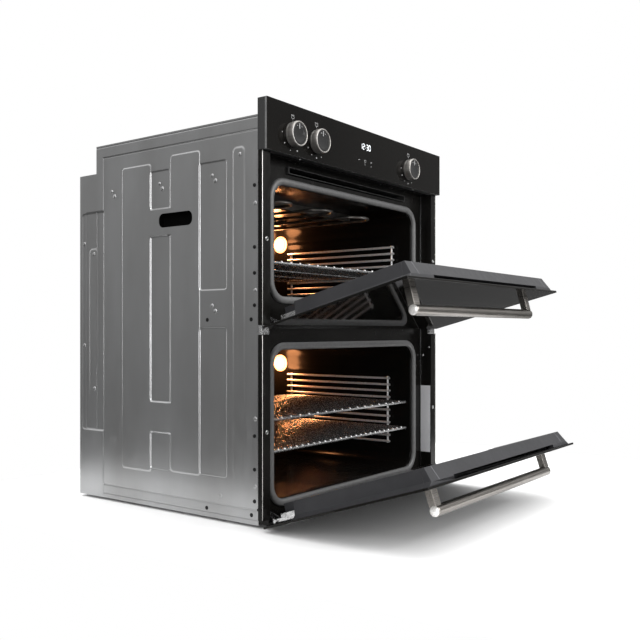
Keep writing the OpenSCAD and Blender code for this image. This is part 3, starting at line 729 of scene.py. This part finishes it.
def recess_details():
    """A plain plate without lettering, two screws, and a galvanised strip down the front edge of the recess's
    right wall: a painted highlight of its fold.
    """
    wall_x = 276.0
    back_y = box("front_frame")[1][1] - 1.5
    plate = rounded_box((wall_x - 0.7, back_y - 25.0, 61), (wall_x - 0.1, back_y - 1, 208), 0.25)
    show("blank_plate", plate, PLATE)
    heads = [moved(shifted(screw(3.0, 1.2), 0, y, z), MIRROR) for y, z in ((-257, 293), (-242, 275))]
    show("recess_screws", shifted(joined(*heads), wall_x), ZINC)
    # Painted highlight: a pale metal strip along the fold of the black recess wall.
    edge = rounded_box((wall_x - 0.6, back_y - 1.6, 30), (wall_x - 0.05, back_y - 0.6, 640), 0.2)
    show("recess_fold_highlight", edge, GALVANISED)


def panel_screws():
    """Two screws that hold the control panel from below."""
    screw_x, screw_y = 195, -262
    low = box("control_housing")[0]
    downwards = Matrix.Diagonal((1, 1, -1, 1))
    heads = [moved(shifted(screw(2.3, 1.2, "z"), x, screw_y, -low[2]), downwards)
             for x in (-screw_x, screw_x)]
    show("panel_screws", joined(*heads), ZINC)


def flange_edges():
    """Near-white strips down the outer front corner of each flange: a painted highlight of the sheet's fold.
    """
    low, high = box("left_flange")
    gap_low, gap_high = box("middle_brackets")[0][2], box("middle_brackets")[1][2]
    spans = ((low[2], gap_low), (gap_high, high[2]))
    strips = [rounded_box((low[0] + 0.5, low[1] - 0.15, z0 + 1), (low[0] + 1.7, low[1] + 1.0, z1 - 1), 0.3)
              for z0, z1 in spans]
    both = strips + [moved(strip, MIRROR) for strip in strips]
    # Painted highlight: near-white strips where the fold of the black flange would catch the light.
    show("flange_painted_highlights", joined(*both), PAINTED_HIGHLIGHT_METAL)


def fixing_rims():
    """Pressed rims round the holes for the cabinet screws, on both flanges."""
    hole_x, hole_zs = 284.5, (160, 483)
    front = box("left_flange")[0][1]
    rim = lathe([(2.3, 0.4), (2.3, -0.1), (2.8, -0.3), (3.8, 0.05), (3.8, 0.4)], "y", 28)
    rims = [shifted(rim, x, front, z) for x in (-hole_x, hole_x) for z in hole_zs]
    show("fixing_rims", joined(*rims), MOTOR)


recess_details()
panel_screws()
flange_edges()
fixing_rims()


def seal(node, name):
    """A round rubber bulb with a thin lip inside it, along the edge of a mouth."""
    low, high = box(node)
    wide, tall = high[0] - low[0], high[2] - low[2]
    centre = (low + high) / 2
    half, height, steps, corner = 6.5, 5.5, 12, 41
    section = []
    for k in range(steps + 1):
        a = math.radians(180 * k / steps)
        section.append((half - half * math.cos(a), high[1] - height * math.sin(a) ** 0.7))
    section += [(11.5, high[1] + 0.4), (1.5, high[1] + 0.4)]
    rings = []
    for inset, y in section:
        loop = rounded_loop(wide - 2 * inset, tall - 2 * inset, corner - inset, 12, 8)
        rings.append(flat(loop + centre[[0, 2]], y))
    show(name, loft(rings, wrap=True), RUBBER, replaces=(node,),
         sharp=math.radians(60))


seal("upper_seal", "upper_seal_bulb")
seal("lower_seal", "lower_seal_bulb")

# ------------------------------------------------------------------ ovens


def oven_liner(node, name, groove_zs):
    """The enamelled cavity, with long grooves pressed into its side walls. Each station of it has
    (y, how far its walls lie in from those of the mouth)."""
    low, high = box(node)
    rim, thickness = 11.5, 1.5
    groove_front, groove_back, groove_half, groove_depth = -191, 114, 9, 2.4
    wide, tall = 474.0, high[2] - low[2] - 24.0
    back = high[1] - thickness
    mid = (low[2] + high[2]) / 2
    front = low[1]
    stations = [(front, -rim), (front, -2.0), (front + 1.5, -0.4), (front + 4, 0.0)]
    stations += [(y, 0.0) for y in (-205, -195, -191, -187, -150, -100, -50, 0, 60, 110, 114, 118, 126)]
    corner = 22.0
    stations += [(back - corner + corner * math.sin(a), corner - corner * math.cos(a))
                 for a in np.linspace(0, math.pi / 2, 9)]
    rings = []
    for y, inset in stations:
        loop = rounded_loop(wide - 2 * inset, tall - 2 * inset, max(30 - inset, 8), 8, 40)
        along = rise(y - groove_front, 8) * rise(groove_back - y, 8)
        for p in loop:
            if abs(abs(p[0]) - wide / 2) < 0.5:
                pressed = max(float(rise(groove_half - abs(p[1] + mid - z), 6)) for z in groove_zs)
                p[0] -= math.copysign(groove_depth * pressed * along, p[0])
        rings.append(flat(loop + np.array((0, mid)), y))
    points, faces = loft(rings)
    start = (len(rings) - 1) * len(rings[0])
    faces.append(tuple(range(start, start + len(rings[0]))))
    liner = show(name, (points, faces), ENAMEL, replaces=(node,), solid=False)
    thicken(liner, thickness)


oven_liner("upper_oven", "upper_oven_liner", (410, 434, 458, 482, 506, 530))
oven_liner("lower_oven", "lower_oven_liner", (60, 95, 130, 165, 200, 235))
dress("fan_baffle", ENAMEL, 0.4)
paint("grill_element", SHEATH)
paint("base_element", SHEATH)
paint("ring_element", SHEATH)
paint("oven_fan", ALUMINIUM)
dress("fan_motor", MOTOR, 0.6)
paint("lamp_holders", CERAMIC)
paint("upper_runners", CHROME)
paint("lower_runners", CHROME)


def shelf(node, wires):
    """A wire shelf, with the bright welded ends of its wires along the front rail."""
    paint(node, SHELF_WIRE)
    low, high = box(node)
    rail_r = 2.8
    bead_r, bead_h = 2.3, 2.4
    reach = high[0] - rail_r
    places = np.linspace(-reach, reach, wires + 2)[1:-1]
    bead = dome(bead_r, bead_h, "z", 3)
    beads = [shifted(bead, x, low[1] + rail_r, low[2] + 1.7 * rail_r) for x in places]
    show(node + "_wire_ends", joined(*beads), CHROME)


shelf("upper_shelf", 16)
shelf("lower_oven_top_shelf", 16)
shelf("lower_oven_bottom_shelf", 25)


def lamp_lens():
    """A low glass dome over each oven lamp, lit from inside. Gives back the places of the lamps."""
    low, high = box("lamp_lenses")
    r = (high[1] - low[1]) / 2
    y = (low[1] + high[1]) / 2
    base = high[0]
    profile = [(r - 3, 0), (r, 0), (r, 2.5), (r - 0.6, 3.2), (r - 2.0, 3.4), (r - 2.4, 5.2), (r - 4, 7.6),
               (r - 6.5, 9.6), (r - 10, 10.9), (r - 15, 11.4)]
    shape = moved(lathe(profile, "x", 48), MIRROR)
    zs = (low[2] + r, high[2] - r)
    lenses = [shifted(shape, base, y, z) for z in zs]
    show("lamp_domes", joined(*lenses), LAMP_GLASS, replaces=("lamp_lenses",))
    from_wall, forward = 34, 8
    return [(base - from_wall, y - forward, z) for z in zs]


lamp_places = lamp_lens()

# ------------------------------------------------------------------ cooling and supply

for node, material, width in (("blower_housing", DUCT, 0.4), ("blower_motor", MOTOR, 0.8),
                              ("terminal_block", CERAMIC, 0.4), ("terminal_cover", PLASTIC, 0.8),
                              ("display_module", BOARD, 0.3), ("switch_bodies", CERAMIC, 0.5)):
    dress(node, material, width)
paint("blower_wheel", ALUMINIUM)

# ------------------------------------------------------------------ control panel

# The narrow faces are painted grey: partly the ground edge, partly a painted highlight.
dress("control_glass", BLACK_GLASS, 0.9, 3, edge_material=GROUND_EDGE_HIGHLIGHT)
dress("control_housing", PLASTIC, 0.6)
panel_front_y = box("control_glass")[0][1]
print_y = panel_front_y - 0.05
knob_z = 665.5


def stroke(x, z, width, height):
    """A flat printed mark on the front of the panel."""
    half_w, half_h = width / 2, height / 2
    return rounded_box((x - half_w, print_y, z - half_h), (x + half_w, print_y + 0.1, z + half_h), 0.02, 1)


def outline(x, z, width, height):
    """A printed frame."""
    line = 0.5
    half_w, half_h = width / 2, height / 2
    return joined(stroke(x, z + half_h, width + line, line), stroke(x, z - half_h, width + line, line),
                  stroke(x - half_w, z, line, height), stroke(x + half_w, z, line, height))


def dot(x, z, radius):
    """A round printed mark."""
    disc = lathe([(radius, 0), (radius, 0.1)], "y", 16)
    return shifted(disc, x, print_y, z)


def knob_marks(x, count):
    """Dots round a knob, from zero at the top, with a small oven sign above it."""
    marks = [outline(x, knob_z + 31, 7.5, 6), stroke(x, knob_z + 32.4, 5, 0.6),
             stroke(x, knob_z + 26.2, 0.7, 2.6)]
    ring_r, sweep = 28.5, 270
    for k in range(1, count):
        a = math.radians(sweep * k / (count - 1))
        marks.append(dot(x + ring_r * math.sin(a), knob_z + ring_r * math.cos(a), 1.0 if k % 2 else 1.4))
    return marks


# Which bars each figure lights, and each bar's place: (across, up, whether it stands upright)
SEGMENTS = {"0": "abcdef", "1": "bc", "2": "abged", "3": "abgcd"}
SEGMENT_PLACES = {"a": (0, 1, 0), "g": (0, 0, 0), "d": (0, -1, 0), "b": (1, 0.5, 1), "c": (1, -0.5, 1),
                  "e": (-1, -0.5, 1), "f": (-1, 0.5, 1)}


def digit(x, z, figure):
    """A clock digit of seven bars."""
    half_w, half_h, bar = 2.7, 5.0, 1.3
    bars = []
    for segment in SEGMENTS[figure]:
        u, v, upright = SEGMENT_PLACES[segment]
        size = (bar, half_h - 0.9) if upright else (2 * half_w - 1.0, bar)
        bars.append(stroke(x + u * half_w, z + v * half_h, *size))
    return joined(*bars)


def panel_print():
    """The marks round the knobs and under the display, and the clock."""
    marks = []
    for knob_name, count in (("left_knob", 8), ("middle_knob", 10), ("right_knob", 10)):
        marks += knob_marks(middle_x(knob_name), count)
    marks += [outline(-3.5, 657, 5, 4), stroke(-3.5, 650.5, 0.7, 4), stroke(-24, 657, 4.5, 0.7),
              stroke(18, 657, 4.5, 0.7), stroke(18, 657, 0.7, 4.5), dot(18, 649.5, 0.8)]
    show("panel_marks", joined(*marks), PRINT)
    clock_z = 684.5
    figures = ((-16.5, "1"), (-8.2, "2"), (4.2, "3"), (12.5, "0"))
    clock = [digit(x, clock_z, figure) for x, figure in figures]
    clock += [stroke(-2.0, clock_z + s, 1.2, 1.2) for s in (2.1, -2.1)]
    show("clock_digits", joined(*clock), DIGITS)


panel_print()


def knob(name):
    """A metal ring with a fine waist and a glossy dished face."""
    low, high = box(name)
    x = middle_x(name)
    r = (high[0] - low[0]) / 2
    front = low[1]
    skirt = panel_front_y - 0.5
    ring = lathe([(17.5, skirt), (r - 1.0, skirt), (r - 0.8, skirt - 0.6), (r - 0.8, skirt - 3.0),
                  (r - 1.4, skirt - 3.6), (r - 0.2, skirt - 4.4), (r, skirt - 5.5), (r, front + 1.3),
                  (r - 0.35, front + 0.45), (r - 1.1, front + 0.05), (r - 1.9, front), (r - 2.5, front + 0.4),
                  (r - 2.7, front + 1.2), (r - 2.7, front + 2.6)], "y", 96)
    spindle = lathe([(3, skirt - 2), (3, high[1] - 0.6), (2.4, high[1])], "y", 24)
    shape = shifted(joined(ring, spindle), x, 0, knob_z)
    show(name + "_ring", shape, KNOB_METAL, name, (name,))
    face = lathe([(r - 2.75, front + 3.0), (r - 2.75, front + 1.6), (r - 3.4, front + 1.3),
                  (r - 8, front + 1.9), (r - 14, front + 2.3), (2.0, front + 2.4)], "y", 72)
    show(name + "_dish", shifted(face, x, 0, knob_z), KNOB_BLACK, name, (name + "_face",))
    pointer = rounded_box((x - 0.7, front + 1.0, knob_z + 8), (x + 0.7, front + 2.0, knob_z + 17.5), 0.3)
    tick = rounded_box((x - 0.5, front + 1.2, knob_z + 12), (x + 0.5, front + 2.2, knob_z + 13.5), 0.2)
    ticks = [shifted(tick, s) for s in (-6, 6)]
    show(name + "_pointer", joined(pointer, *ticks), PRINT, name)


for name in ("left_knob", "middle_knob", "right_knob"):
    knob(name)

# ------------------------------------------------------------------ doors

# Sizes of a closed door about its pivot: how far the outer glass reaches below the pivot, how far
# the trim and the middle of the bar lie below the glass's top, and how far out the bar stands.
GLASS_DROP = 4.5
TRIM_BELOW_TOP = 5.0
BAR_BELOW_TOP = 42.5
BAR_OUT = 43
CAP_JOINT_X = 250


def hang(joint_name):
    """Puts a shape drawn about a door's pivot, with the outside towards -Y, where the door is."""
    joint = joints[joint_name]
    pivot = [p / MM for p in joint["pos_m"]]
    return Matrix.Translation(pivot) @ Matrix.Rotation(math.radians(-joint["range_deg"][0]), 4, "X")


def handle(side, place, glass_h):
    """A brushed bar with polished, slightly domed end caps and a fine groove at each end. The caps are near
    white and partly matt: polished metal with a painted highlight.
    """
    door_name = side + "_door"
    z = glass_h - GLASS_DROP - BAR_BELOW_TOP
    half, r = 229.0, 9.0
    end = [(r - 1.2, -half + 2.6), (r - 0.4, -half + 2.8), (r, -half + 3.4), (r, -half + 6.4),
           (r - 0.35, -half + 6.7), (r, -half + 7.0)]
    cap = lathe([(0.5, -half), (3.0, -half + 0.25), (5.5, -half + 0.9), (r - 1.6, -half + 1.8),
                 (r - 0.6, -half + 2.6), (r - 0.8, -half + 3.1)], "x", 48)
    caps = shifted(joined(cap, moved(cap, MIRROR)), 0, -BAR_OUT, z)
    show(door_name + "_handle_caps", moved(caps, place), PAINTED_HIGHLIGHT_METAL, door_name)
    profile = end + [(r, h) for h in (-150, -50, 50, 150)] + [(a, -h) for a, h in reversed(end)]
    bar = shifted(lathe(profile, "x", 72), 0, -BAR_OUT, z)
    show(door_name + "_handle_tube", moved(bar, place), NICKEL, door_name, (side + "_handle_bar",))


def cap_joint_highlights(side, place, glass_h):
    """The fine joints where the end caps meet the top trim of a door, as strips far paler than the trim: real
    joints, with a painted highlight of their chamfer.
    """
    door_name = side + "_door"
    trim_top = glass_h - GLASS_DROP - TRIM_BELOW_TOP
    front, back, drop = 2.0, 24.5, 9.0
    slope = math.atan2(drop, back - front)
    length = math.hypot(drop, back - front)
    strip = rounded_box((-0.5, 0, -0.1), (0.5, length, 0.2), 0.1)
    lean = Matrix.Rotation(-slope, 4, "X")
    strips = [shifted(moved(strip, lean), x, front, trim_top) for x in (-CAP_JOINT_X, CAP_JOINT_X)]
    show(door_name + "_cap_joint_highlights", moved(joined(*strips), place), CAP_JOINT_HIGHLIGHT, door_name)


def door(side, glass_h):
    """All that swings with one door. glass_h is the height of its outer glass."""
    place = hang(side + "_door_hinge")
    dress(side + "_door_glass", BLACK_GLASS, 0.9, 3)
    dress(side + "_door_frame", CHARCOAL, 1.0, 3)
    dress(side + "_door_trim", CHARCOAL, 1.0, 3)
    dress(side + "_door_inner_glass", INNER_GLASS, 0.4)
    dress(side + "_hinge_arms", ZINC, 0.5)
    dress(side + "_handle_posts", NICKEL, 0.8, 3)
    handle(side, place, glass_h)
    cap_joint_highlights(side, place, glass_h)


door("upper", 286.0)
door("lower", 326.5)

# ------------------------------------------------------------------ stage, light and camera


def floor():
    """The pale floor, just below the base."""
    (left_m, right_m), (near_m, far_m), z_m = (-0.5, 0.85), (-1.6, 0.5), -0.005
    corners = [(left_m, near_m, z_m), (right_m, near_m, z_m), (right_m, far_m, z_m), (left_m, far_m, z_m)]
    mesh = bpy.data.meshes.new("floor")
    mesh.from_pydata(corners, [], [(0, 1, 2, 3)])
    mesh.materials.append(finish("floor_white", grey(0.86), grey(0.88), (0.6, 0.7), 0.0, (3, 3, 3)))
    piece = bpy.data.objects.new("floor", mesh)
    bpy.context.scene.collection.objects.link(piece)


def world(below, level, overhead, shown):
    """Soft light that grows from below the horizon to overhead, and a white backdrop for the camera."""
    made = bpy.data.worlds.new("studio")
    bpy.context.scene.world = made
    made.use_nodes = True
    tree = made.node_tree
    soft = tree.nodes["Background"]
    soft.inputs["Color"].default_value = (1.0, 1.0, 1.0, 1.0)
    coordinates = tree.nodes.new("ShaderNodeTexCoord")
    parts = tree.nodes.new("ShaderNodeSeparateXYZ")
    tree.links.new(coordinates.outputs["Generated"], parts.inputs["Vector"])
    total = tree.nodes.new("ShaderNodeMath")
    total.operation = "ADD"
    for i, (start, end, low, high) in enumerate(((-0.2, 0.1, below, level), (0.25, 0.8, 0.0, overhead))):
        height = tree.nodes.new("ShaderNodeMapRange")
        height.inputs["From Min"].default_value = start
        height.inputs["From Max"].default_value = end
        height.inputs["To Min"].default_value = low
        height.inputs["To Max"].default_value = high
        tree.links.new(parts.outputs["Z"], height.inputs["Value"])
        tree.links.new(height.outputs["Result"], total.inputs[i])
    tree.links.new(total.outputs["Value"], soft.inputs["Strength"])
    white = tree.nodes.new("ShaderNodeBackground")
    white.inputs["Color"].default_value = (1.0, 1.0, 1.0, 1.0)
    white.inputs["Strength"].default_value = shown
    path = tree.nodes.new("ShaderNodeLightPath")
    mix = tree.nodes.new("ShaderNodeMixShader")
    tree.links.new(path.outputs["Is Camera Ray"], mix.inputs["Fac"])
    tree.links.new(soft.outputs["Background"], mix.inputs[1])
    tree.links.new(white.outputs["Background"], mix.inputs[2])
    tree.links.new(mix.outputs["Shader"], tree.nodes["World Output"].inputs["Surface"])


def soft_box(name, place_m, aim_m, size_m, power):
    """A white area light at place_m that points at aim_m."""
    light = bpy.data.lights.new(name, "AREA")
    light.shape = "RECTANGLE"
    light.size, light.size_y = size_m
    light.energy = power
    lamp = bpy.data.objects.new(name, light)
    lamp.location = place_m
    direction = Vector(aim_m) - lamp.location
    lamp.rotation_euler = direction.to_track_quat("-Z", "Y").to_euler()
    bpy.context.scene.collection.objects.link(lamp)


def oven_lamp(name, place, power):
    """A small warm light in an oven."""
    light = bpy.data.lights.new(name, "POINT")
    light.energy = power
    light.color = (1.0, 0.38, 0.14)
    light.shadow_soft_size = 0.018
    lamp = bpy.data.objects.new(name, light)
    lamp.location = [p * MM for p in place]
    bpy.context.scene.collection.objects.link(lamp)


floor()
world(below=0.13, level=0.35, overhead=1.3, shown=1.0)
soft_box("left_softbox", (-2.6, -1.45, 0.9), (-0.28, -0.2, 0.4), (0.8, 2.2), 34)
soft_box("rear_softbox", (0.0, 3.0, 0.9), (0.0, 0.2, 0.4), (1.6, 2.0), 30)
soft_box("top_softbox", (0.4, 0.0, 3.0), (0.2, -0.1, 0.2), (3.4, 3.4), 60)
soft_box("front_softbox", (1.2, -3.2, 1.6), (0, -0.3, 0.3), (1.8, 1.8), 80)
for index, place in enumerate(lamp_places):
    oven_lamp(f"oven_lamp_{index}", place, 0.9)

lens = bpy.data.cameras.new("camera")
lens.lens = 46.45
lens.sensor_width = 36.0
lens.shift_y = 0.0157
camera = bpy.data.objects.new("camera", lens)
camera.location = (-1.33695, -1.1526, 0.33086)
camera.rotation_euler = (math.radians(90), 0.0, math.radians(-53.45))
bpy.context.scene.collection.objects.link(camera)
bpy.context.scene.camera = camera
bpy.context.scene.view_settings.view_transform = "Standard"
